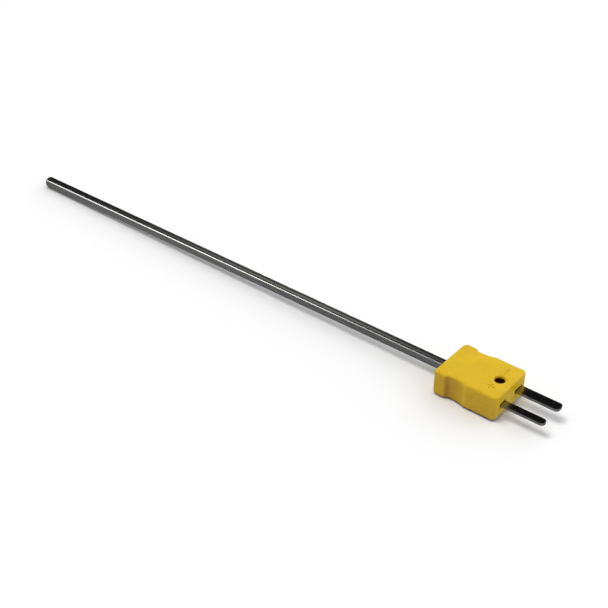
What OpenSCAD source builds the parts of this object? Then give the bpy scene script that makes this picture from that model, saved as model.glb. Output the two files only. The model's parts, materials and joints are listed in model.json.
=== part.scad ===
// Mineral-insulated thermocouple probe fixed in a miniature flat-pin plug.
// The origin is on the axis of the sheath, at the rear face of the plug.
// +X runs towards the blades, -X towards the sensing tip, and +Z towards the plug's cover.

/* [Sheath] */
// Length of sheath outside the plug
sheath_l = 150; // [60:5:300]
// Outside diameter of the sheath
sheath_d = 3.2; // [3:0.1:3.3]
// Wall thickness of the sheath
sheath_wall = 0.4; // [0.3:0.05:0.45]
// Radius around the edge of the closed tip
tip_r = 0.9; // [0.4:0.1:1.2]
// Length of the solid cap that closes the tip
tip_l = 1.5; // [1.3:0.1:2.5]

/* [Thermocouple wires] */
// Diameter of each wire
wire_d = 0.5; // [0.4:0.05:0.5]
// Distance between the wires inside the sheath
wire_pitch = 1.1; // [1.05:0.05:1.15]
// Outside diameter of the sleeve on each bare tail
sleeve_d = 0.9; // [0.8:0.05:0.95]

/* [Plug body] */
// Length of the plug body
plug_l = 20; // [20:0.5:22]
// Width of the plug body
plug_w = 16; // [16:0.2:17]
// Thickness of the plug body
plug_t = 7.8; // [7.8:0.1:8.4]
// Radius around all outer edges
edge_r = 0.8; // [0.5:0.1:0.9]
// Radius of the upright corners
corner_r = 1.4; // [1:0.1:1.6]
// Height of the joint line above the middle of the plug
split_z = 0.45; // [0.45:0.01:0.5]

/* [Finger grip] */
// Length of the full-width land behind each grip scallop
grip_land = 3.2; // [3:0.1:3.4]
// Radius with which the land turns down into the scallop
grip_round = 2.2; // [2:0.1:2.4]
// Distance from the rear face to the deepest point of the scallop
grip_deep_x = 6; // [5.8:0.1:6.2]
// Depth of the scallop
grip_depth = 0.8; // [0.7:0.05:1]
// Distance from the rear face to the crest in front of the scallop
grip_crest_x = 10.3; // [10:0.1:11]
// Hollow of the side between the crest and the front corner
front_dish = 0.1; // [0.1:0.05:0.2]

/* [Blades] */
// Distance between the centre lines of the blades
blade_pitch = 7.9; // [7.9:0.05:8]
// Width of the positive blade
positive_w = 2.4; // [2.2:0.1:2.6]
// Width of the negative blade
negative_w = 3.2; // [3:0.1:3.3]
// Thickness of each blade
blade_t = 0.8; // [0.7:0.05:0.8]
// Length of blade outside the plug
blade_l = 13.2; // [12:0.2:15]
// Radius of the corners at the free end of each blade
blade_tip_r = 1.1; // [0.6:0.1:1.1]

/* [Terminals] */
// Distance from the rear face to the terminal screws
terminal_x = 10.3; // [10.2:0.1:10.4]
// Thread diameter of the terminal screws
terminal_thread_d = 2; // [1.8:0.1:2]
// Head diameter of the terminal screws
terminal_head_d = 3.2; // [2.8:0.1:3.3]
// Height of the terminal screw heads
terminal_head_h = 0.9; // [0.7:0.1:0.9]

/* [Cover screw] */
// Distance from the rear face to the cover screw
cover_screw_x = 16.2; // [16:0.1:16.4]
// Diameter of the hole over the cover screw
screw_hole_d = 3.1; // [3:0.1:3.3]
// Thread diameter of the cover screw
cover_thread_d = 1.6; // [1.4:0.1:1.6]
// Head diameter of the cover screw
cover_head_d = 2.7; // [2.4:0.1:2.8]

/* [Hidden] */

$fn = 64;
cut = 1;                 // how far cutting shapes run past the faces that they cut
fit = 0.05;              // radial clearance of a shaft in its hole
contact_gap = 0.01;      // kept between pieces that press on each other
plug_yellow = "gold";

// sides of the plug: the positive blade is on -Y, the negative one on +Y
positive = -1;
negative = 1;

// sheath and what fills it
sheath_r = sheath_d / 2;
core_r = sheath_r - sheath_wall;
neck_r = sheath_r - 0.2;          // the sheath is drawn down where it enters the plug
sheath_end_x = 5.3;
cap_x = -sheath_l + tip_l;         // joint between the cap and the tube
wire_r = wire_d / 2;
wire_y = wire_pitch / 2;
junction_x = cap_x + 1.3;
junction_r = 0.4;
junction_grip = 0.2;               // how far each wire runs into the weld bead
seal_l = 0.7;
seal_r = 1.3;
seal_x = sheath_end_x + seal_l;

// wire tails
bend_x = seal_x + 0.4;
tail_x = 8.2;
tail_y = 2.6;
tail_z = blade_t / 2 + wire_r + 2 * contact_gap;
tail_end_x = terminal_x + 1.6;
sleeve_r = sleeve_d / 2;
sleeve_from = 0.12;                // shares of the slanting stretch between which the sleeve lies
sleeve_to = 0.6;

// plug
grip_r = (pow(grip_crest_x - grip_deep_x, 2) + pow(grip_depth, 2)) / (2 * grip_depth);
dish_half = (plug_l - corner_r - grip_crest_x) / 2;
dish_r = (pow(dish_half, 2) + pow(front_dish, 2)) / (2 * front_dish);
floor_z = -plug_t / 2 + 1.1;
ceiling_z = plug_t / 2 - 0.8;
bay_x0 = 5;                        // terminal bay, between the collar and the front block
bay_x1 = 13.2;
bay_shoulder_x = 8;
bay_rear_y = 5;
bay_y = 5.8;
way_r = sheath_r + fit;
pocket_x0 = 1.25;
pocket_x1 = 4.35;
seat_x = 8.4;                      // rib under the rear end of the blades
seat_l = 0.6;
seat_w = 3.2;
locator_x = 1.9;                   // moulded pins that locate the cover
locator_y = 5.9;
locator_r = 0.6;
locator_l = 1.4;

// crimp collar
collar_gap = 0.05;
collar_r = 2.6;
collar_x0 = pocket_x0 + collar_gap;
collar_l = pocket_x1 - pocket_x0 - 2 * collar_gap;
collar_rim = 0.7;
collar_flats = 4.3;

// blades
blade_y = blade_pitch / 2;
pad_x0 = 8.35;
pad_x1 = 13.1;
pad_w = 3.5;
peg_x = 15.2;
peg_r = 0.55;
groove_gap = 0.1;
mouth_gap = 0.22;
mouth_l = 0.6;

// terminals
plate_w = 3.4;
plate_t = 0.4;
plate_foot = 0.5;
plate_z = tail_z + wire_r + 2 * contact_gap;
terminal_seat_z = plate_z + plate_t + 2 * contact_gap;
terminal_tip_z = -1.6;
slot_w = 0.4;
head_soft = 0.12;                  // bevel around the top of each screw head

// cover screw
ledge_z = split_z + 1.85;
washer_t = 0.25;
washer_r = cover_head_d / 2;
head_seat_z = ledge_z + washer_t;
cover_head_h = 0.8;
cover_tip_z = -2.75;
insert_r = 1.4;
insert_z0 = -2.95;
insert_z1 = -0.15;
knurls = 12;
knurl_r = 0.12;
knurl_end = 0.5;                   // plain stretch at each end of the insert
hole_chamfer = 0.25;

// moulded polarity marks
mark_depth = 0.18;
mark_w = 0.45;
mark_x = 15.9;
minus_y = 3.7;
minus_l = 3.2;
plus_y = -4;
plus_l = 2.2;

// a cylinder along X from x0 to x1
module rod_x(r, x0, x1) {
    translate([x0, 0, 0]) rotate([0, 90, 0]) cylinder(r = r, h = x1 - x0);
}

// a round bar from point a to point b
module bar(a, b, r) {
    v = b - a;
    translate(a) rotate([0, acos(v[2] / norm(v)), atan2(v[1], v[0])]) cylinder(r = r, h = norm(v));
}

// ---- sheath, tip and filling ----

module sheath() {
    color("silver") difference() {
        union() {
            rod_x(sheath_r, cap_x, 0);
            rod_x(neck_r, -fit, sheath_end_x);
        }
        rod_x(core_r, cap_x - cut, sheath_end_x + cut);
    }
}

module tip_cap() {
    color("silver")
        translate([-sheath_l, 0, 0]) rotate([0, 90, 0]) rotate_extrude() union() {
            square([sheath_r - tip_r, tip_l]);
            translate([0, tip_r]) square([sheath_r, tip_l - tip_r]);
            intersection() {
                translate([sheath_r - tip_r, tip_r]) circle(r = tip_r);
                square([sheath_r, tip_l]);
            }
        }
}

// weld bead across the two wires
module junction_bead() {
    for (side = [positive, negative])
        translate([junction_x, side * wire_y, 0]) sphere(r = junction_r);
    translate([junction_x, -wire_y, 0]) rotate([-90, 0, 0]) cylinder(r = junction_r, h = wire_pitch);
}

// the straight run of one wire through the sheath
module wire_run(side) {
    start_x = junction_x + junction_r - junction_grip;
    translate([0, side * wire_y, 0]) rod_x(wire_r, start_x, bend_x);
}

module hot_junction() {
    color("dimgray") difference() {
        junction_bead();
        for (side = [positive, negative]) wire_run(side);
    }
}

module mgo_insulation() {
    color("white") difference() {
        rod_x(core_r, cap_x, sheath_end_x);
        junction_bead();
        for (side = [positive, negative]) wire_run(side);
    }
}

module end_seal() {
    color("saddlebrown") difference() {
        rod_x(seal_r, sheath_end_x, seal_x);
        for (side = [positive, negative]) wire_run(side);
    }
}

// ---- wires and sleeves ----

function bend_point(side) = [bend_x, side * wire_y, 0];
function tail_point(side) = [tail_x, side * tail_y, tail_z];

module conductor(side) {
    tail_end = [tail_end_x, side * tail_y, tail_z];
    wire_run(side);
    bar(bend_point(side), tail_point(side), wire_r);
    bar(tail_point(side), tail_end, wire_r);
    for (p = [bend_point(side), tail_point(side)]) translate(p) sphere(r = wire_r + contact_gap);
}

module positive_conductor() { color("gray") conductor(positive); }

module negative_conductor() { color("darkgray") conductor(negative); }

// a straight tube on the slanting stretch of the tail
module sleeve(side) {
    v = tail_point(side) - bend_point(side);
    start = bend_point(side) + v * sleeve_from;
    end = bend_point(side) + v * sleeve_to;
    difference() {
        bar(start, end, sleeve_r);
        bar(bend_point(side), tail_point(side), wire_r);
    }
}

module positive_sleeve() { color("yellow") sleeve(positive); }

module negative_sleeve() { color("red") sleeve(negative); }

// ---- crimp collar ----

module crimp_collar() {
    color("goldenrod") difference() {
        union() {
            rod_x(collar_r, collar_x0, collar_x0 + collar_rim);
            rod_x(collar_r, collar_x0 + collar_l - collar_rim, collar_x0 + collar_l);
            translate([collar_x0, 0, 0]) rotate([0, 90, 0])
                cylinder(d = collar_flats / cos(30), h = collar_l, $fn = 6);
        }
        rod_x(neck_r, collar_x0 - cut, collar_x0 + collar_l + cut);
    }
}

// ---- plug body ----

// a rectangle with round corners, from [x, y] and with the given size
module soft_rect(x, y, w, h, r) {
    translate([x + r, y]) square([w - 2 * r, h]);
    translate([x, y + r]) square([w, h - 2 * r]);
    for (u = [x + r, x + w - r], v = [y + r, y + h - r]) translate([u, v]) circle(r = r);
}

// an upright round cutter that flares at both ends, so that it leaves a rounded edge
module flared_cutter(r) {
    rotate_extrude($fn = 256) difference() {
        translate([0, -plug_t / 2 - cut]) square([r + edge_r + cut, plug_t + 2 * cut]);
        translate([r, edge_r - plug_t / 2]) square([edge_r + 2 * cut, plug_t - 2 * edge_r]);
        for (end = [-1, 1])
            translate([r + edge_r, end * (plug_t / 2 - edge_r)]) circle(r = edge_r);
        translate([r + edge_r, -plug_t]) square([2 * cut, 2 * plug_t]);
    }
}

// an upright round post as tall as the plug, with rounded rims
module soft_post(r) {
    rotate_extrude() {
        translate([0, -plug_t / 2]) square([r - edge_r, plug_t]);
        translate([0, edge_r - plug_t / 2]) square([r, plug_t - 2 * edge_r]);
        for (end = [-1, 1]) intersection() {
            translate([r - edge_r, end * (plug_t / 2 - edge_r)]) circle(r = edge_r);
            translate([0, -plug_t / 2]) square([r, plug_t]);
        }
    }
}

// the quarter of such a post that points to sx, sy
module soft_corner(r, sx, sy) {
    intersection() {
        soft_post(r);
        translate([sx > 0 ? 0 : -r - cut, sy > 0 ? 0 : -r - cut, -plug_t])
            cube([r + cut, r + cut, 2 * plug_t]);
    }
}

// the plug's block with all its edges rounded
module soft_block() {
    translate([corner_r, 0, 0]) rotate([90, 0, 90]) linear_extrude(plug_l - 2 * corner_r)
        soft_rect(-plug_w / 2, -plug_t / 2, plug_w, plug_t, edge_r);
    translate([0, plug_w / 2 - corner_r, 0]) rotate([90, 0, 0]) linear_extrude(plug_w - 2 * corner_r)
        soft_rect(0, -plug_t / 2, plug_l, plug_t, edge_r);
    for (sx = [-1, 1], sy = [-1, 1])
        translate([plug_l / 2 + sx * (plug_l / 2 - corner_r), sy * (plug_w / 2 - corner_r), 0])
            soft_corner(corner_r, sx, sy);
}

// the whole plug: a scallop and a slight dish lie in each side, and a round post ends the land
module plug_blank() {
    difference() {
        soft_block();
        for (side = [-1, 1]) {
            intersection() {
                translate([grip_deep_x, side * (plug_w / 2 - grip_depth + grip_r), 0])
                    flared_cutter(grip_r);
                translate([grip_land, -plug_w, -plug_t]) cube([plug_l, 2 * plug_w, 2 * plug_t]);
            }
            translate([grip_crest_x + dish_half, side * (plug_w / 2 - front_dish + dish_r), 0])
                flared_cutter(dish_r);
        }
    }
    for (side = [-1, 1])
        translate([grip_land, side * (plug_w / 2 - grip_round), 0]) soft_corner(grip_round, 1, side);
}

// the part of the plug's block between two heights
module plug_block(z0, z1) {
    intersection() {
        plug_blank();
        translate([-cut, -plug_w, z0]) cube([plug_l + 2 * cut, 2 * plug_w, z1 - z0]);
    }
}

// a way along X that a round piece can be laid into from above
module open_way(r, x0, x1) {
    rod_x(r, x0, x1);
    translate([x0, -r, 0]) cube([x1 - x0, 2 * r, split_z + cut]);
}

module bay_outline() {
    polygon([[bay_x0, -bay_rear_y], [bay_shoulder_x, -bay_y], [bay_x1, -bay_y],
             [bay_x1, bay_y], [bay_shoulder_x, bay_y], [bay_x0, bay_rear_y]]);
}

// slots in which the blades lie: a close groove, and a wider mouth at the front face
module blade_grooves(z0, z1) {
    for (side = [positive, negative]) {
        w = (side == positive ? positive_w : negative_w) + 2 * groove_gap;
        translate([bay_x1 - cut, side * blade_y - w / 2, z0])
            cube([plug_l - bay_x1 + 2 * cut, w, z1 - z0]);
    }
}

module blade_mouths() {
    for (side = [positive, negative]) {
        w = (side == positive ? positive_w : negative_w) + 2 * mouth_gap;
        h = blade_t + 2 * mouth_gap;
        translate([plug_l - mouth_l, side * blade_y - w / 2, -h / 2]) cube([mouth_l + cut, w, h]);
    }
}

module plug_base() {
    color(plug_yellow) difference() {
        union() {
            difference() {
                plug_block(-plug_t, split_z);
                translate([0, 0, floor_z]) linear_extrude(plug_t) bay_outline();
                blade_grooves(-blade_t / 2, plug_t);
            }
            for (side = [positive, negative]) {
                translate([seat_x, side * blade_y - seat_w / 2, floor_z - cut / 2])
                    cube([seat_l, seat_w, -blade_t / 2 - floor_z + cut / 2]);
                translate([peg_x, side * blade_y, -blade_t / 2 - cut])
                    cylinder(r = peg_r, h = blade_t + cut - fit);
            }
        }
        open_way(way_r, -cut, bay_x0 + cut);
        open_way(collar_r + fit, pocket_x0, pocket_x1);
        blade_mouths();
        translate([cover_screw_x, 0, insert_z0]) cylinder(r = insert_r, h = plug_t);
        for (side = [-1, 1])
            translate([locator_x, side * locator_y, split_z - locator_l - 2 * fit])
                cylinder(r = locator_r + fit, h = plug_t);
    }
}

// a bar and a cross cut into the top of the cover
module polarity_marks() {
    translate([mark_x - mark_w / 2, minus_y - minus_l / 2, 0]) cube([mark_w, minus_l, cut]);
    translate([mark_x - mark_w / 2, plus_y - plus_l / 2, 0]) cube([mark_w, plus_l, cut]);
    translate([mark_x - plus_l / 2, plus_y - mark_w / 2, 0]) cube([plus_l, mark_w, cut]);
}

module plug_cover() {
    color(plug_yellow) {
        difference() {
            plug_block(split_z, plug_t);
            translate([0, 0, ceiling_z - plug_t]) linear_extrude(plug_t) bay_outline();
            rod_x(way_r, -cut, bay_x0 + cut);
            rod_x(collar_r + fit, pocket_x0, pocket_x1);
            blade_mouths();
            translate([cover_screw_x, 0, ledge_z]) cylinder(d = screw_hole_d, h = plug_t);
            translate([cover_screw_x, 0, 0]) cylinder(r = cover_thread_d / 2 + 2 * fit, h = plug_t);
            translate([cover_screw_x, 0, plug_t / 2 - hole_chamfer])
                cylinder(r1 = screw_hole_d / 2, r2 = screw_hole_d / 2 + 2 * hole_chamfer,
                         h = 2 * hole_chamfer);
            translate([0, 0, plug_t / 2 - mark_depth]) polarity_marks();
        }
        for (side = [-1, 1])
            translate([locator_x, side * locator_y, split_z - locator_l])
                cylinder(r = locator_r, h = locator_l + cut);
    }
}

// ---- blades and terminals ----

module blade(side, w) {
    end_x = plug_l + blade_l;
    difference() {
        translate([0, side * blade_y, -blade_t / 2]) linear_extrude(blade_t) union() {
            translate([pad_x0, -pad_w / 2]) square([pad_x1 - pad_x0, pad_w]);
            translate([pad_x0, -w / 2]) square([end_x - blade_tip_r - pad_x0, w]);
            translate([pad_x0, blade_tip_r - w / 2]) square([end_x - pad_x0, w - 2 * blade_tip_r]);
            for (edge = [-1, 1])
                translate([end_x - blade_tip_r, edge * (w / 2 - blade_tip_r)])
                    circle(r = blade_tip_r);
        }
        translate([terminal_x, side * blade_y, -cut])
            cylinder(r = terminal_thread_d / 2 + fit, h = 2 * cut);
        translate([peg_x, side * blade_y, -cut]) cylinder(r = peg_r + fit, h = 2 * cut);
    }
}

module positive_blade() { color("gainsboro") blade(positive, positive_w); }

module negative_blade() { color("gainsboro") blade(negative, negative_w); }

// square saddle: it bears on the wire on the inner side and on its own foot on the outer side
module clamp_plate(side) {
    foot_y = side > 0 ? plate_w / 2 - plate_foot : -plate_w / 2;
    translate([terminal_x, side * blade_y, 0]) {
        difference() {
            translate([-plate_w / 2, -plate_w / 2, plate_z]) cube([plate_w, plate_w, plate_t]);
            cylinder(r = terminal_thread_d / 2 + 2 * fit, h = plug_t);
        }
        translate([-plate_w / 2, foot_y, blade_t / 2 + 2 * contact_gap])
            cube([plate_w, plate_foot, plate_z + plate_t / 2 - blade_t / 2]);
    }
}

module positive_clamp_plate() { color("silver") clamp_plate(positive); }

module negative_clamp_plate() { color("silver") clamp_plate(negative); }

// cheese-head screw along -Z, its head standing on seat_z
module slotted_screw(thread_r, head_r, head_h, seat_z, tip_z) {
    point = thread_r / 3;
    top_z = seat_z + head_h;
    difference() {
        rotate_extrude()
            polygon([[0, tip_z], [thread_r - point, tip_z], [thread_r, tip_z + point],
                     [thread_r, seat_z], [head_r, seat_z], [head_r, top_z - head_soft],
                     [head_r - head_soft, top_z], [0, top_z]]);
        translate([-head_r - cut, -slot_w / 2, seat_z + head_h / 2])
            cube([2 * head_r + 2 * cut, slot_w, head_h]);
    }
}

module terminal_screw(side) {
    translate([terminal_x, side * blade_y, 0])
        slotted_screw(terminal_thread_d / 2, terminal_head_d / 2, terminal_head_h,
                      terminal_seat_z, terminal_tip_z);
}

module positive_terminal_screw() { color("silver") terminal_screw(positive); }

module negative_terminal_screw() { color("silver") terminal_screw(negative); }

// ---- cover screw ----

module threaded_insert() {
    color("goldenrod") translate([cover_screw_x, 0, insert_z0]) difference() {
        cylinder(r = insert_r, h = insert_z1 - insert_z0);
        translate([0, 0, -cut]) cylinder(r = cover_thread_d / 2 + fit, h = plug_t);
        for (k = [0 : knurls - 1])
            rotate([0, 0, k * 360 / knurls]) translate([insert_r, 0, knurl_end])
                cylinder(r = knurl_r, h = insert_z1 - insert_z0 - 2 * knurl_end, $fn = 24);
    }
}

module cover_screw_washer() {
    color("dimgray") translate([cover_screw_x, 0, ledge_z]) difference() {
        cylinder(r = washer_r, h = washer_t);
        translate([0, 0, -cut]) cylinder(r = cover_thread_d / 2 + 2 * fit, h = plug_t);
    }
}

module cover_screw() {
    color("dimgray") translate([cover_screw_x, 0, 0])
        slotted_screw(cover_thread_d / 2, cover_head_d / 2, cover_head_h, head_seat_z, cover_tip_z);
}

sheath();
tip_cap();
mgo_insulation();
positive_conductor();
negative_conductor();
hot_junction();
end_seal();
crimp_collar();
positive_sleeve();
negative_sleeve();
plug_base();
plug_cover();
positive_blade();
negative_blade();
positive_clamp_plate();
negative_clamp_plate();
positive_terminal_screw();
negative_terminal_screw();
threaded_insert();
cover_screw_washer();
cover_screw();
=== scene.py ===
import json
import math

import bpy
from mathutils import Matrix, Vector

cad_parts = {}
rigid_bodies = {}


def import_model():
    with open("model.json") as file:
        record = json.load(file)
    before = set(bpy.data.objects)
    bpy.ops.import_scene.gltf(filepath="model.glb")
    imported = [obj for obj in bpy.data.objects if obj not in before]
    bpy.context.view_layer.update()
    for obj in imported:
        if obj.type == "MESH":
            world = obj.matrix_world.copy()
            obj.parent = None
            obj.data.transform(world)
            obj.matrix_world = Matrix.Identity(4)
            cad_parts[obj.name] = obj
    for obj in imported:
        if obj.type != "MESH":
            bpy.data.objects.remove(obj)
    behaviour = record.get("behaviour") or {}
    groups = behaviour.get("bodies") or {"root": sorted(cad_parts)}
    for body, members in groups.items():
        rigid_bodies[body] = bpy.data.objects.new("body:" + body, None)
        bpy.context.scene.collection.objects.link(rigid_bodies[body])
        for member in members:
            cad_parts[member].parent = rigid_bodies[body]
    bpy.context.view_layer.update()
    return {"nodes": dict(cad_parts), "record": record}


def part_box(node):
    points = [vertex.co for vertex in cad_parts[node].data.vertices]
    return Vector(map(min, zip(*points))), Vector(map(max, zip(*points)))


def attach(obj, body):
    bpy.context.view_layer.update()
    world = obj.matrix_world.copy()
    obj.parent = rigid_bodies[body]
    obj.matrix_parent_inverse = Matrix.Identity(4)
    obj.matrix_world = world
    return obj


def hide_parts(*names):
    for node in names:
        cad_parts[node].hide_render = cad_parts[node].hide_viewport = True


# A mineral-insulated thermocouple probe with a miniature two-blade plug, lying on a pale table.
# Lengths are in millimetres unless said otherwise, and MM turns them into the metres of the frame.

# a fresh Blender may hold a default cube, lamp and camera
for thing in list(bpy.data.objects):
    bpy.data.objects.remove(thing, do_unlink=True)

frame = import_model()
NODES = frame["nodes"]

MM = 0.001
TURN = 2 * math.pi


# ---------------------------------------------------------------- materials

def add(tree, kind, inputs=None, **props):
    """A shader node; an input is a value, or a socket to link from."""
    n = tree.nodes.new("ShaderNode" + kind)
    for key, value in props.items():
        setattr(n, key, value)
    for key, value in (inputs or {}).items():
        if isinstance(value, bpy.types.NodeSocket):
            tree.links.new(value, n.inputs[key])
        else:
            n.inputs[key].default_value = value
    return n


class Paint:
    """A procedural material, with texture coordinates in millimetres and what all the finishes share."""

    def __init__(self, name):
        self.material = bpy.data.materials.new(name)
        self.material.use_nodes = True
        self.tree = self.material.node_tree
        self.tree.nodes.clear()
        self.out = self.add("OutputMaterial")
        self.bsdf = self.add("BsdfPrincipled")
        self.tree.links.new(self.bsdf.outputs[0], self.out.inputs[0])
        place = self.add("TexCoord").outputs["Object"]
        self.mm = self.add("VectorMath", {0: place, 3: 1000.0}, operation="SCALE").outputs[0]

    def add(self, kind, inputs=None, **props):
        return add(self.tree, kind, inputs, **props)

    def math(self, operation, a, b=0.0):
        return self.add("Math", {0: a, 1: b}, operation=operation).outputs[0]

    def stretch(self, x, y, z):
        return self.add("VectorMath", {0: self.mm, 1: (x, y, z)}, operation="MULTIPLY").outputs[0]

    def noise(self, scale, detail=3.0, rough=0.55, distortion=0.0, at=None):
        return self.add("TexNoise", {"Vector": at or self.mm, "Scale": scale, "Detail": detail,
                                     "Roughness": rough, "Distortion": distortion}).outputs["Fac"]

    def cells(self, scale, at=None, feature="F1"):
        return self.add("TexVoronoi", {"Vector": at or self.mm, "Scale": scale},
                        feature=feature).outputs["Distance"]

    def ramp(self, value, low, high, to_low=0.0, to_high=1.0):
        """value from low..high to to_low..to_high, smoothly and clamped."""
        return self.add("MapRange", {"Value": value, "From Min": low, "From Max": high,
                                     "To Min": to_low, "To Max": to_high},
                        interpolation_type="SMOOTHSTEP").outputs[0]

    def mix(self, factor, a, b):
        n = self.add("Mix", {0: factor}, data_type="RGBA")
        for socket, value in ((n.inputs[6], a), (n.inputs[7], b)):
            if isinstance(value, bpy.types.NodeSocket):
                self.tree.links.new(value, socket)
            else:
                socket.default_value = (*value, 1.0)
        return n.outputs[2]

    def edges(self, radius, low=0.985, high=0.90):
        """1 on the edges of the piece, 0 on its faces."""
        soft = self.add("Bevel", {"Radius": radius * MM}, samples=6).outputs[0]
        true = self.add("NewGeometry").outputs["Normal"]
        same = self.add("VectorMath", {0: soft, 1: true}, operation="DOT_PRODUCT").outputs["Value"]
        return self.ramp(same, low, high)

    def shade_in_hollows(self, distance, low=0.75, high=0.25):
        """An ambient-occlusion mask for painted shade: 1 deep in corners, slots and holes, 0 in the open.
        """
        open_sky = self.add("AmbientOcclusion", {"Distance": distance * MM}, samples=8).outputs["AO"]
        return self.ramp(open_sky, low, high)

    def scratches(self, scale, along, thin=0.03, share=0.45):
        """Fine short lines: the borders of stretched cells, kept only in patches."""
        at = self.stretch(*along)
        lines = self.ramp(self.cells(scale, at, "DISTANCE_TO_EDGE"), thin, 0.0)
        patches = self.ramp(self.noise(scale * 0.4, 2.0), 1.0 - share, 1.05 - share)
        return self.math("MULTIPLY", lines, patches)

    def bump(self, *layers):
        """layers are (height, distance in mm, strength)."""
        normal = None
        for height, distance, strength in layers:
            inputs = {"Height": height, "Distance": distance * MM, "Strength": strength}
            if normal is not None:
                inputs["Normal"] = normal
            normal = self.add("Bump", inputs).outputs[0]
        self.tree.links.new(normal, self.bsdf.inputs["Normal"])

    def finish(self, **values):
        """Principled inputs by name, with _ for a space."""
        for key, value in values.items():
            socket = self.bsdf.inputs[key.replace("_", " ")]
            if isinstance(value, bpy.types.NodeSocket):
                self.tree.links.new(value, socket)
            elif isinstance(value, tuple) and len(value) == 3 and socket.type == "RGBA":
                socket.default_value = (*value, 1.0)
            else:
                socket.default_value = value
        return self.material


GRIP_REAR_X, GRIP_FRONT_X, CREST_X = 3.4, 9.6, 10.2     # ends of the plug's scallops, and their crest
SIDE_Y, SIDE_Z, RIM_Z = 6.9, 3.95, -3.8                 # where the plug's sides begin and end


def painted_side_shading(p, colour, cloud, fine):
    """Painted shade and light on the sides: browner sides, most of all in the rear of each scallop, a
    darker lower rim and a painted highlight on the crest.
    """
    xyz = p.add("SeparateXYZ", {0: p.mm})
    x, z = xyz.outputs[0], xyz.outputs[2]
    off_y = p.math("ABSOLUTE", xyz.outputs[1])
    off_z = p.math("ABSOLUTE", z)
    side = p.math("MULTIPLY", p.ramp(off_y, SIDE_Y, SIDE_Y + 0.4), p.ramp(off_z, SIDE_Z, SIDE_Z - 0.65))
    grip = p.math("MULTIPLY", p.ramp(x, GRIP_REAR_X, GRIP_REAR_X + 0.8), p.ramp(x, GRIP_FRONT_X, 5.0))
    # painted shade: the side faces are made browner, the rear of each scallop most
    side_shade = p.math("MULTIPLY", side, p.math("ADD", p.math("MULTIPLY", grip, 0.52), 0.28))
    side_shade = p.math("MULTIPLY", side_shade, p.ramp(cloud, 0.25, 0.75, 1.2, 0.8))
    colour = p.mix(side_shade, colour, (0.46, 0.225, 0.016))
    # painted shade: a darker, browner band along the lower rim next to the floor
    low_rim = p.math("MULTIPLY", p.ramp(z, RIM_Z + 0.9, RIM_Z), p.ramp(fine, 0.2, 0.6, 0.35, 0.60))
    colour = p.mix(low_rim, colour, (0.26, 0.115, 0.012))
    # painted highlight: a paler yellow band on the crest of each side
    off_crest = p.math("ABSOLUTE", p.math("SUBTRACT", x, CREST_X))
    crest = p.math("MULTIPLY", side, p.ramp(off_crest, 0.8, 0.1))
    return p.mix(p.math("MULTIPLY", crest, 0.45), colour, (0.80, 0.55, 0.02))


def plug_plastic():
    p = Paint("plug_yellow")
    cloud = p.noise(0.22, 4.0, 0.6, 0.4)
    fine = p.noise(1.7, 5.0, 0.65)
    grain = p.noise(9.0, 3.0, 0.6)
    colour = p.mix(p.ramp(cloud, 0.35, 0.68), (0.735, 0.485, 0.006), (0.690, 0.435, 0.005))
    colour = p.mix(p.ramp(fine, 0.50, 0.74, 0.0, 0.30), colour, (0.770, 0.530, 0.012))
    edge_patches = p.math("MULTIPLY", p.edges(0.22), p.ramp(fine, 0.32, 0.60))
    # painted highlight: a paler yellow along the edges; the same mask lowers the roughness where the edges
    # are polished
    colour = p.mix(p.math("MULTIPLY", edge_patches, 0.45), colour, (0.85, 0.64, 0.04))
    colour = painted_side_shading(p, colour, cloud, fine)
    specks = p.ramp(p.cells(0.62), 0.035, 0.015)
    colour = p.mix(p.math("MULTIPLY", specks, 0.5), colour, (0.30, 0.17, 0.012))
    # painted shade: corners, slots and marks are darkened, and the deep screw hole is painted nearly black
    colour = p.mix(p.math("MULTIPLY", p.shade_in_hollows(0.7, 0.72, 0.30), 0.45), colour, (0.46, 0.22, 0.008))
    colour = p.mix(p.shade_in_hollows(2.4, 0.44, 0.14), colour, (0.050, 0.008, 0.004))
    hair = p.scratches(0.5, (0.25, 1.0, 1.0), 0.02)
    gloss = p.math("ADD", p.ramp(fine, 0.3, 0.7, 0.40, 0.50), p.math("MULTIPLY", edge_patches, -0.10))
    p.bump((cloud, 0.10, 0.20), (grain, 0.012, 0.55), (hair, -0.010, 0.6))
    return p.finish(Base_Color=colour, Roughness=gloss, IOR=1.49, Specular_IOR_Level=0.34,
                    Subsurface_Weight=0.08, Subsurface_Radius=(1.0, 0.55, 0.12), Subsurface_Scale=0.5 * MM)


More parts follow.
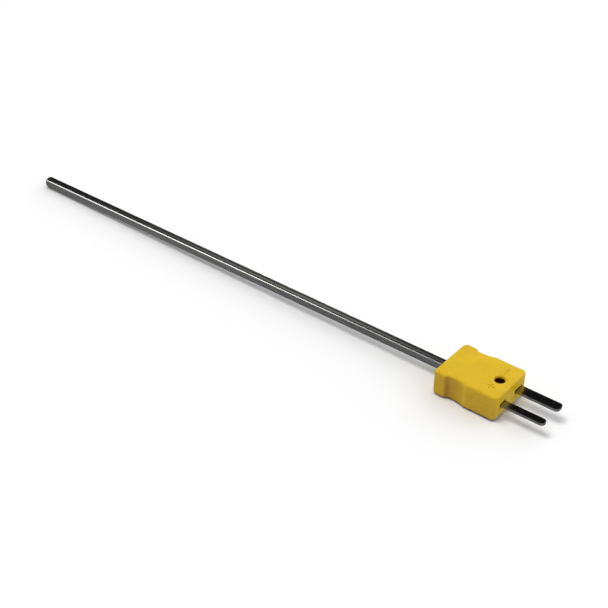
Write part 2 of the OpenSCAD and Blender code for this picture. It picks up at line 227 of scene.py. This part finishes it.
def sheath_steel():
    p = Paint("sheath_steel")
    drawn = p.noise(3.2, 4.0, 0.6, at=p.stretch(0.012, 1.0, 1.0))
    fine = p.noise(11.0, 3.0, 0.6, at=p.stretch(0.035, 1.0, 1.0))
    cloud = p.noise(0.16, 4.0, 0.6, 0.5)
    dull = p.noise(6.0, 4.0, 0.7)
    hair = p.scratches(0.85, (0.10, 1.0, 1.0), 0.02)
    colour = p.mix(p.ramp(drawn, 0.36, 0.66), (0.565, 0.560, 0.550), (0.455, 0.450, 0.440))
    colour = p.mix(p.ramp(cloud, 0.45, 0.75, 0.0, 0.35), colour, (0.50, 0.475, 0.44))
    # a faint straw tint where the cap is welded on
    x = p.add("SeparateXYZ", {0: p.mm}).outputs[0]
    seam_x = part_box("tip_cap")[1].x / MM
    away = p.math("ABSOLUTE", p.math("SUBTRACT", x, seam_x))
    tint = p.math("MULTIPLY", p.ramp(away, 2.6, 0.2, 0.0, 0.40), p.ramp(dull, 0.25, 0.7, 0.5, 1.0))
    colour = p.mix(tint, colour, (0.46, 0.36, 0.24))
    seam = p.ramp(away, 0.16, 0.04)
    gloss = p.ramp(dull, 0.30, 0.75, 0.13, 0.25)
    gloss = p.math("ADD", gloss, p.math("MULTIPLY", hair, 0.16))
    p.bump((drawn, 0.010, 0.35), (fine, 0.004, 0.35), (hair, -0.006, 0.5), (seam, -0.02, 0.5))
    return p.finish(Base_Color=colour, Roughness=gloss, Metallic=1.0, Anisotropic=0.25)


def contact_alloy(name, bright, dark):
    p = Paint(name)
    rolled = p.noise(5.0, 4.0, 0.6, at=p.stretch(0.05, 1.0, 1.0))
    cloud = p.noise(0.5, 5.0, 0.65, 0.6)
    fine = p.noise(9.0, 3.0, 0.7)
    pushed = p.scratches(1.5, (0.022, 1.0, 1.0), 0.018, 0.40)
    colour = p.mix(p.ramp(cloud, 0.36, 0.68), bright, dark)
    colour = p.mix(p.ramp(rolled, 0.5, 0.75, 0.0, 0.4), colour, dark)
    edge_patches = p.math("MULTIPLY", p.edges(0.16), p.ramp(fine, 0.25, 0.55, 0.5, 1.0))
    colour = p.mix(p.math("MULTIPLY", edge_patches, 0.7), colour, (0.66, 0.64, 0.60))
    # painted shade: corners and slots are darkened
    colour = p.mix(p.math("MULTIPLY", p.shade_in_hollows(0.8), 0.6), colour, (0.12, 0.09, 0.07))
    gloss = p.math("ADD", p.ramp(fine, 0.3, 0.75, 0.15, 0.27), p.math("MULTIPLY", pushed, 0.12))
    p.bump((cloud, 0.012, 0.3), (rolled, 0.006, 0.4), (pushed, -0.004, 0.4))
    return p.finish(Base_Color=colour, Roughness=gloss, Metallic=1.0)


def metal(name, bright, dark, low, high, edge=(0.75, 0.72, 0.66)):
    """Turned or pressed small parts: tarnish in clouds, tool marks, worn edges and painted shade in the
    corners.
    low and high bound the roughness."""
    p = Paint(name)
    cloud = p.noise(1.1, 5.0, 0.65, 0.5)
    fine = p.noise(14.0, 3.0, 0.65)
    rings = p.noise(7.0, 3.0, 0.6, at=p.stretch(1.0, 1.0, 3.0))
    colour = p.mix(p.ramp(cloud, 0.35, 0.70), bright, dark)
    edge_patches = p.math("MULTIPLY", p.edges(0.10), p.ramp(fine, 0.30, 0.60, 0.3, 1.0))
    colour = p.mix(p.math("MULTIPLY", edge_patches, 0.5), colour, edge)
    # painted shade: the corners are darkened towards a quarter of the dark tone
    hollow_shade = tuple(c * 0.25 for c in dark)
    colour = p.mix(p.math("MULTIPLY", p.shade_in_hollows(0.35), 0.7), colour, hollow_shade)
    gloss = p.math("ADD", p.ramp(fine, 0.3, 0.7, low, high), p.math("MULTIPLY", edge_patches, -0.06))
    p.bump((cloud, 0.010, 0.3), (rings, 0.006, 0.4), (fine, 0.003, 0.5))
    return p.finish(Base_Color=colour, Roughness=gloss, Metallic=1.0)


def dull_stuff(name, pale, deep, rough, scale=3.0, height=0.02, sheen=0.0):
    """Powder, resin and woven yarn: colour in clouds, a coarse surface and corners darkened with painted
    shade.
    """
    p = Paint(name)
    cloud = p.noise(scale, 5.0, 0.65, 0.4)
    grain = p.noise(scale * 7.0, 3.0, 0.7)
    colour = p.mix(p.ramp(cloud, 0.33, 0.70), pale, deep)
    lit_grain = tuple(min(1.0, c * 1.25 + 0.01) for c in pale)
    colour = p.mix(p.ramp(grain, 0.55, 0.85, 0.0, 0.5), colour, lit_grain)
    # painted shade: the corners are darkened towards a third of the deep tone
    hollow_shade = tuple(c * 0.3 for c in deep)
    colour = p.mix(p.math("MULTIPLY", p.shade_in_hollows(0.25), 0.6), colour, hollow_shade)
    gloss = p.ramp(grain, 0.3, 0.7, rough - 0.10, rough + 0.08)
    p.bump((cloud, height, 0.5), (grain, height * 0.3, 0.6))
    return p.finish(Base_Color=colour, Roughness=gloss, IOR=1.5, Sheen_Weight=sheen)


LOOKS = {
    "sheath_steel": sheath_steel(),
    "magnesia": dull_stuff("magnesia", (0.80, 0.79, 0.74), (0.66, 0.64, 0.58), 0.85, 4.0, 0.03),
    "positive_alloy": metal("positive_alloy", (0.46, 0.43, 0.40), (0.34, 0.31, 0.28), 0.25, 0.40),
    "negative_alloy": metal("negative_alloy", (0.52, 0.51, 0.49), (0.40, 0.39, 0.38), 0.25, 0.40),
    "weld_bead": metal("weld_bead", (0.30, 0.27, 0.26), (0.16, 0.14, 0.16), 0.30, 0.55),
    "epoxy": dull_stuff("epoxy", (0.16, 0.050, 0.018), (0.085, 0.024, 0.010), 0.22, 1.6, 0.03),
    "brass": metal("brass", (0.72, 0.50, 0.20), (0.52, 0.33, 0.12), 0.22, 0.40, (0.86, 0.68, 0.36)),
    "positive_sleeve": dull_stuff("positive_sleeve", (0.72, 0.52, 0.06), (0.55, 0.36, 0.03),
                                  rough=0.7, sheen=0.3),
    "negative_sleeve": dull_stuff("negative_sleeve", (0.52, 0.045, 0.030), (0.34, 0.020, 0.016),
                                  rough=0.7, sheen=0.3),
    "plug_yellow": plug_plastic(),
    "positive_contact": contact_alloy("positive_contact", (0.40, 0.385, 0.365), (0.27, 0.255, 0.24)),
    "negative_contact": contact_alloy("negative_contact", (0.43, 0.42, 0.405), (0.30, 0.29, 0.28)),
    "plated_steel": metal("plated_steel", (0.66, 0.66, 0.64), (0.50, 0.49, 0.46), 0.20, 0.34),
    # painted light: the reddish cast of this dark steel stands in for light bounced off the yellow plastic
    # around it
    "black_steel": metal("black_steel", (0.135, 0.042, 0.040), (0.060, 0.016, 0.016),
                         0.32, 0.52, (0.28, 0.22, 0.20)),
}


# ---------------------------------------------------------------- CAD nodes that stay

SLOT_OF = {row["node"]: row["material_slot"] for row in frame["record"]["subparts"]}


def dress(piece, node):
    """Gives a piece the look and the material slot of a CAD node."""
    piece.data.materials.clear()
    piece.data.materials.append(LOOKS[SLOT_OF[node]])


def soften(piece, width, angle, clamp):
    """Rounds the sharp edges of a CAD node with modifiers."""
    weld = piece.modifiers.new("weld", "WELD")
    weld.merge_threshold = 0.002 * MM
    bevel = piece.modifiers.new("bevel", "BEVEL")
    bevel.limit_method = "ANGLE"
    bevel.angle_limit = math.radians(angle)
    bevel.width = width * MM
    bevel.segments = 3
    bevel.use_clamp_overlap = clamp
    bevel.miter_outer = "MITER_ARC"
    normal = piece.modifiers.new("normal", "WEIGHTED_NORMAL")
    normal.keep_sharp = False
    normal.weight = 100


# width of the rounding, the angle in degrees from which an edge is rounded, and whether the rounding stops
# where two edges come close
EDGES = {
    "plug_base": (0.06, 60, False), "plug_cover": (0.06, 60, False),
    "positive_blade": (0.11, 28, True), "negative_blade": (0.11, 28, True),
    "positive_clamp_plate": (0.06, 28, True), "negative_clamp_plate": (0.06, 28, True),
    "crimp_collar": (0.10, 28, True), "cover_screw_washer": (0.05, 28, True),
}
for name, node in NODES.items():
    dress(node, name)
    if name in EDGES:
        soften(node, *EDGES[name])


# ---------------------------------------------------------------- pieces built here

def box_of(node):
    """The lower and the upper corner of a node's box."""
    return [[along / MM for along in corner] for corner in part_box(node)]


def mesh_piece(name, points, faces, body, node):
    """A smooth mesh in the row frame that stands for a CAD node and rides on its body."""
    mesh = bpy.data.meshes.new(name)
    mesh.from_pydata([Vector(p) * MM for p in points], [], faces)
    mesh.validate()
    piece = bpy.data.objects.new(name, mesh)
    bpy.context.scene.collection.objects.link(piece)
    for face in mesh.polygons:
        face.use_smooth = True
    dress(piece, node)
    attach(piece, body)
    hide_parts(node)
    return piece


def shell(rows, around, place, capped):
    """Points and faces of rings of points, where place(row, angle) gives a point. The first and the last
    ring are closed by a face if capped, and joined to each other if not."""
    points = [place(i, TURN * k / around) for i in range(rows) for k in range(around)]
    faces = []
    last = rows - 1 if capped else rows
    for i in range(last):
        a, b = i * around, (i + 1) % rows * around
        faces += [(a + k, a + (k + 1) % around, b + (k + 1) % around, b + k) for k in range(around)]
    if capped:
        faces.append(tuple(range(around))[::-1])
        faces.append(tuple(range((rows - 1) * around, rows * around)))
    return points, faces


def thread_depth(z, angle, pitch, depth):
    """How far a point of a thread lies under its crest. The crest and the root are flats."""
    phase = (z / pitch - angle / TURN) % 1.0
    flank = 1.35 * (1.0 - abs(2.0 * phase - 1.0)) - 0.12
    return depth * min(1.0, max(0.0, flank))


SCREW_AROUND = 56        # points round a screw
LEAD = 0.06              # height of the pointed end before the thread begins
UNDERCUT = 0.10          # plain neck between the thread and the head
CHIN = 0.06              # chamfer under the head
RIM = 0.14               # radius around the top of the head
BURR = 0.035             # rounding of the sharp edges
SLOT_W = 0.4


def screw(node, head_h, thread_r, pitch):
    """A slotted cheese-head screw with a cut thread, upright in the box of its CAD node."""
    (x0, y0, tip_z), (x1, y1, top_z) = box_of(node)
    x, y = (x0 + x1) / 2, (y0 + y1) / 2
    head_r = (x1 - x0) / 2
    seat_z = top_z - head_h
    depth = pitch * 0.50
    core_r = thread_r * 0.55
    # the outline from the tip to the middle of the head: radius, height, and 1 where the thread is cut
    profile = [(thread_r * 0.42, tip_z, 0.0), (thread_r * 0.60, tip_z + LEAD / 2, 0.0)]
    z = tip_z + LEAD
    while z < seat_z - UNDERCUT:
        profile.append((min(thread_r, thread_r * 0.62 + (z - tip_z)), z, 1.0))
        z += pitch / 10
    profile += [(thread_r * 0.84, seat_z - 0.08, 0.0), (thread_r * 0.86, seat_z, 0.0)]
    under = [(head_r - CHIN, seat_z), (head_r, seat_z + CHIN)]
    round_top = [(head_r - RIM + RIM * math.cos(a), top_z - RIM + RIM * math.sin(a))
                 for a in (math.radians(d) for d in range(0, 91, 15))]
    profile += [(r, h, 0.0) for r, h in under + round_top]
    profile += [(r * head_r, top_z, 0.0) for r in (0.80, 0.50, 0.15)]

    def place(i, angle):
        r, h, cut = profile[i]
        r -= cut * min(thread_depth(h, angle, pitch, depth), max(0.0, r - core_r))
        return (x + r * math.cos(angle), y + r * math.sin(angle), h)

    points, faces = shell(len(profile), SCREW_AROUND, place, capped=True)
    piece = mesh_piece(node + "_cut", points, faces, node, node)
    slot_floor = seat_z + head_h / 2
    half = SLOT_W / 2
    corners = [(x + sx * (head_r + 1), y + sy * half, h) for h in (slot_floor, top_z + 1)
               for sx, sy in ((-1, -1), (1, -1), (1, 1), (-1, 1))]
    cut_slot(piece, corners)
    bevel = piece.modifiers.new("bevel", "BEVEL")
    bevel.limit_method = "ANGLE"
    bevel.angle_limit = math.radians(50)
    bevel.width = BURR * MM
    bevel.segments = 2


def cut_slot(piece, corners):
    """Takes a box, given by its corners, out of a piece."""
    mesh = bpy.data.meshes.new("cutter")
    mesh.from_pydata([Vector(p) * MM for p in corners], [],
                     [(3, 2, 1, 0), (4, 5, 6, 7), (0, 1, 5, 4), (1, 2, 6, 5), (2, 3, 7, 6), (3, 0, 4, 7)])
    cutter = bpy.data.objects.new("cutter", mesh)
    bpy.context.scene.collection.objects.link(cutter)
    modifier = piece.modifiers.new("cut", "BOOLEAN")
    modifier.operation = "DIFFERENCE"
    modifier.solver = "EXACT"
    modifier.object = cutter
    graph = bpy.context.evaluated_depsgraph_get()
    result = bpy.data.meshes.new_from_object(piece.evaluated_get(graph))
    piece.modifiers.clear()
    piece.data = result
    bpy.data.objects.remove(cutter, do_unlink=True)


TERMINAL_PITCH, COVER_PITCH = 0.4, 0.35
for side in ("positive", "negative"):
    screw(side + "_terminal_screw", 0.9, 1.0, TERMINAL_PITCH)
screw("cover_screw", 0.8, 0.8, COVER_PITCH)


def insert():
    """The brass insert: two diamond-knurled belts, a plain groove, and the thread inside."""
    node = "threaded_insert"
    (x0, y0, z0), (x1, y1, z1) = box_of(node)
    x, y = (x0 + x1) / 2, (y0 + y1) / 2
    r = (x1 - x0) / 2
    length = z1 - z0
    outer_steps, inner_steps = 46, 70
    outer = [(z0 + length * k / outer_steps, "outer") for k in range(outer_steps + 1)]
    inner = [(z1 - length * k / inner_steps, "inner") for k in range(inner_steps + 1)]
    profile = outer + inner
    ridges, slant, ridge_deep = 28, 9.0, 0.09
    chamfer, chamfer_share = 0.12, 0.05      # depth, and share of the length
    groove_deep, groove_share = 0.16, 0.09
    bore, thread_deep = 0.85, 0.05
    mouth, mouth_share = 0.10, 0.06

    def place(i, angle):
        z, part = profile[i]
        t = (z - z0) / length
        if part == "outer":
            end = min(1.0, t / chamfer_share, (1 - t) / chamfer_share)
            groove = 1.0 - min(1.0, abs(t - 0.5) / groove_share) ** 4
            way = ridges / 2 * angle
            knurl = abs(math.sin(way + slant * t)) * abs(math.sin(way - slant * t))
            at = (r - chamfer * (1 - end) - groove_deep * groove
                  - ridge_deep * (1 - knurl) * (1 - groove) * end)
        else:
            end = min(1.0, t / mouth_share, (1 - t) / mouth_share)
            at = bore + mouth * (1 - end) + thread_deep * end * thread_depth(z, angle, COVER_PITCH, 1.0)
        return (x + at * math.cos(angle), y + at * math.sin(angle), z)

    points, faces = shell(len(profile), 112, place, capped=False)
    mesh_piece(node + "_knurled", points, faces, "root", node)


insert()


def seal():
    """The resin plug on the end of the sheath: a short straight skirt and an uneven dome."""
    node = "end_seal"
    (x0, y0, _), (x1, y1, _) = box_of(node)
    r = (y1 - y0) / 2
    steps, skirt, uneven = 18, 0.10, 0.03
    profile = [(r * 0.4, x0), (r * 0.97, x0)]
    for k in range(steps + 1):
        a = math.radians(90 * k / steps)
        bulge = math.sin(a) ** 0.8
        profile.append((max(r * 0.03, r * math.cos(a)), x0 + skirt + (x1 - x0 - skirt) * bulge))

    def place(i, angle):
        at, x = profile[i]
        wobble = 1.0 - uneven * (1 + math.sin(3 * angle + 1.0)) * min(1.0, i / 6) * 0.5
        return (x, at * wobble * math.cos(angle), at * wobble * math.sin(angle))

    points, faces = shell(len(profile), 64, place, capped=True)
    mesh_piece(node + "_domed", points, faces, "root", node)


seal()


def mean(points):
    return sum(points, Vector((0, 0, 0))) / len(points)


def tube_of(node, guess):
    """Start, end, outer and inner radius of a straight CAD tube whose axis runs about along guess."""
    points = [v.co / MM for v in NODES[node].data.vertices]
    centre = mean(points)
    axis = guess.normalized()
    # the middle of the far points and that of the near points give a better axis, round by round
    for _ in range(6):
        far = [p for p in points if (p - centre).dot(axis) > 0]
        near = [p for p in points if (p - centre).dot(axis) <= 0]
        axis = (mean(far) - mean(near)).normalized()
    reach = [(p - centre).dot(axis) for p in points]
    off_axis = [((p - centre) - axis * (p - centre).dot(axis)).length for p in points]
    return centre + axis * min(reach), centre + axis * max(reach), max(off_axis), min(off_axis)


def woven_sleeve(node):
    """A braided glass sleeve: two families of yarns that pass over and under each other."""
    side = -1.0 if node.startswith("positive") else 1.0
    start, end, radius, bore = tube_of(node, Vector((0.62, side * 0.70, 0.23)))
    axis = (end - start).normalized()
    u = axis.cross(Vector((0, 0, 1))).normalized()
    v = axis.cross(u)
    length = (end - start).length
    rows = 120
    profile = [(k / (rows - 1), "out") for k in range(rows)] + [(1.0, "in"), (0.0, "in")]
    yarns, slant, weave_deep = 9, 5.2, 0.085
    fray, fray_length = 0.05, 0.08           # how far the ends draw in

    def place(i, angle):
        t, part = profile[i]
        s = t * length
        if part == "in":
            r = bore
        else:
            p = yarns * angle / 2 + s * slant
            q = yarns * angle / 2 - s * slant
            over = 0.5 + 0.5 * math.tanh(4 * math.sin(p) * math.sin(q))
            weave = max(abs(math.sin(p)) * (0.55 + 0.45 * over), abs(math.sin(q)) * (1.0 - 0.45 * over))
            inward = min(1.0, s / fray_length, (length - s) / fray_length)
            r = radius - weave_deep * (1 - weave) - fray * (1 - inward)
        return start + axis * s + (u * math.cos(angle) + v * math.sin(angle)) * r

    points, faces = shell(len(profile), 108, place, capped=False)
    mesh_piece(node + "_woven", points, faces, "root", node)


for side in ("positive", "negative"):
    woven_sleeve(side + "_sleeve")


# ---------------------------------------------------------------- floor, light and reflections

def simple_emission(name, colour, strength):
    m = bpy.data.materials.new(name)
    m.use_nodes = True
    m.node_tree.nodes.clear()
    e = add(m.node_tree, "Emission", {"Color": (*colour, 1.0), "Strength": strength})
    o = add(m.node_tree, "OutputMaterial")
    m.node_tree.links.new(e.outputs[0], o.inputs[0])
    return m


def show_only_to(piece, *rays):
    for ray in ("camera", "diffuse", "glossy", "transmission", "volume_scatter", "shadow"):
        setattr(piece, "visible_" + ray, ray in rays)


# the probe rests on its tip and on the rear edge of the plug, so the floor leans a little
sheath_low, plug_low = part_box("sheath")[0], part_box("plug_base")[0]
tip_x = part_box("tip_cap")[0].x
lean = math.atan2(sheath_low.z - plug_low.z, plug_low.x - tip_x)
FLOOR_SIZE = 30.0        # in metres
FLOOR_GAP = 0.02
bpy.ops.mesh.primitive_plane_add(size=FLOOR_SIZE)
floor = bpy.context.active_object
floor.name = "floor"
floor.rotation_euler = (0, lean, 0)
floor.location = (plug_low.x, 0, plug_low.z - FLOOR_GAP * MM)
paper = Paint("paper")
paper_tone = paper.noise(0.05, 3.0)
paper.bump((paper.noise(1.4, 4.0), 0.01, 0.10))
floor.data.materials.append(paper.finish(
    Base_Color=paper.mix(paper_tone, (0.93, 0.93, 0.93), (0.92, 0.92, 0.925)), Roughness=0.9,
    Specular_IOR_Level=0.1))
# the floor is hidden from reflections; the metal mirrors the table painted on the reflection dome instead
floor.visible_glossy = False

DOME_R = 12.0            # in metres


def dome(name, material, *rays):
    """A sphere round the whole scene that only the named kinds of ray can see."""
    bpy.ops.mesh.primitive_uv_sphere_add(segments=96, ring_count=48, radius=DOME_R)
    piece = bpy.context.active_object
    piece.name = name
    for face in piece.data.polygons:
        face.use_smooth = True
    piece.data.materials.append(material)
    show_only_to(piece, *rays)


dome("backdrop", simple_emission("white_backdrop", (1, 1, 1), 1.15), "camera")


def studio():
    """What the metal mirrors: soft boxes and dark walls, painted by direction. across is the share along X,
    and turn is the angle round X in degrees: 0 in front (-Y), 90 overhead, 180 behind. A share beyond 1
    or -1 leaves that side open."""
    p = Paint("studio")
    p.tree.nodes.remove(p.bsdf)
    way = p.add("VectorMath", {0: p.mm}, operation="NORMALIZE").outputs[0]
    xyz = p.add("SeparateXYZ", {0: way})
    across = xyz.outputs[0]
    turn = p.math("MULTIPLY", p.math("ARCTAN2", xyz.outputs[2], p.math("MULTIPLY", xyz.outputs[1], -1.0)),
                  360 / TURN)

    def band(value, a, b, soft):
        up = p.ramp(value, a - soft, a + soft)
        down = p.ramp(value, b - soft, b + soft, 1.0, 0.0)
        return p.math("MULTIPLY", up, down)

    total = (0.012, 0.012, 0.014)
    for (t0, t1, ts), (x0, x1, xs), strength, tone in STUDIO:
        light = p.math("MULTIPLY", band(turn, t0, t1, ts), band(across, x0, x1, xs))
        light = p.math("MULTIPLY", light, strength)
        light = p.add("VectorMath", {0: tone, 3: light}, operation="SCALE").outputs[0]
        total = p.add("VectorMath", {0: total, 1: light}, operation="ADD").outputs[0]
    shine = p.add("Emission", {"Color": total, "Strength": 1.0})
    p.tree.links.new(shine.outputs[0], p.out.inputs[0])
    return p.material


WHITE, GREENISH, BLUISH = (1.0, 1.0, 1.0), (0.95, 1.0, 0.90), (0.96, 0.98, 1.0)
STUDIO = (
    # (turn from, to, softness), (across from, to, softness), strength, tone
    ((-85, 30, 8), (-1.2, -0.47, 0.05), 0.22, BLUISH),      # table in front, towards the tip
    ((-85, 30, 8), (-0.47, -0.395, 0.03), 0.10, BLUISH),    # table in front, by the plug
    ((-85, 30, 8), (-0.385, -0.25, 0.02), 0.34, BLUISH),    # table in front of the blades
    ((35.5, 48.5, 1.8), (-1.2, -0.59, 0.03), 2.3, WHITE),   # long strip light
    ((35.5, 48.5, 1.8), (-0.59, -0.47, 0.04), 3.7, WHITE),  # its bright middle
    ((35, 49, 2.0), (-0.47, -0.36, 0.04), 0.9, WHITE),      # its faint end, by the plug
    ((72, 122, 8), (-0.535, -0.43, 0.04), 0.36, GREENISH),  # wall over the plug
    ((148, 176, 8), (-0.56, -0.43, 0.04), 0.22, BLUISH),    # sweep low behind
    ((72, 104, 6), (-0.25, 0.9, 0.05), 0.9, WHITE),         # overhead soft box
    ((148, 166, 5), (0.1, 1.0, 0.08), 1.0, WHITE),          # soft box behind
    ((18, 40, 5), (0.0, 1.0, 0.08), 1.0, WHITE),            # soft box in front
    ((-180, -5, 6), (-0.25, 1.2, 0.08), 0.40, WHITE),       # table all round
    ((-180, -85, 8), (-1.2, -0.25, 0.08), 0.10, WHITE),     # dim table behind
)
dome("reflections", studio(), "glossy")

world = bpy.data.worlds.new("world")
bpy.context.scene.world = world
world.use_nodes = True
world.cycles_visibility.glossy = False
world.cycles_visibility.camera = False


def light_sky(front, behind, towards):
    """A pale sweep on the side that towards points to, and a darker room opposite."""
    tree = world.node_tree
    sky = tree.nodes["Background"]
    way = add(tree, "TexCoord").outputs["Generated"]
    lit = add(tree, "VectorMath", {0: way, 1: towards}, operation="DOT_PRODUCT").outputs["Value"]
    glow = add(tree, "MapRange", {"Value": lit, "From Min": -0.1, "From Max": 0.85,
                                  "To Min": front, "To Max": behind},
               interpolation_type="SMOOTHSTEP").outputs[0]
    tree.links.new(glow, sky.inputs["Strength"])
    sky.inputs["Color"].default_value = (0.97, 0.98, 1.0, 1.0)


light_sky(0.22, 1.58, (0.42, 0.90, 0.0))


def sun(name, strength, angle, towards, colour):
    data = bpy.data.lights.new(name, "SUN")
    data.energy = strength
    data.angle = math.radians(angle)
    data.color = colour
    lamp = bpy.data.objects.new(name, data)
    bpy.context.scene.collection.objects.link(lamp)
    lamp.rotation_euler = Vector(towards).to_track_quat("-Z", "Y").to_euler()
    lamp.visible_glossy = False


sun("key", 1.62, 30, (0.26, 0.18, -1.0), (1.0, 0.99, 0.97))
sun("fill", 0.26, 70, (0.85, 0.45, -0.40), (1.0, 0.97, 0.93))


# ---------------------------------------------------------------- camera

AZIMUTH, ELEVATION, ROLL = 36.21, 35.91, 1.80
DISTANCE = 521.0 * MM
AIM = Vector((-48.42, -1.51, 0.0)) * MM
LENS = 108.19


def make_camera():
    """Looks at AIM from the photo's angle, turned a little about its own axis."""
    a, e, roll = (math.radians(d) for d in (AZIMUTH, ELEVATION, ROLL))
    back = Vector((math.sin(a) * math.cos(e), -math.cos(a) * math.cos(e), math.sin(e)))
    right = Vector((math.cos(a), math.sin(a), 0.0))
    up = back.cross(right)
    x = right * math.cos(roll) + up * math.sin(roll)
    y = back.cross(x)
    data = bpy.data.cameras.new("camera")
    data.lens = LENS
    data.clip_start = 0.01
    data.clip_end = 100.0
    cam = bpy.data.objects.new("camera", data)
    bpy.context.scene.collection.objects.link(cam)
    turned = Matrix((x, y, back)).transposed().to_4x4()
    cam.matrix_world = Matrix.Translation(AIM + back * DISTANCE) @ turned
    bpy.context.scene.camera = cam


make_camera()
bpy.context.scene.view_settings.view_transform = "Standard"
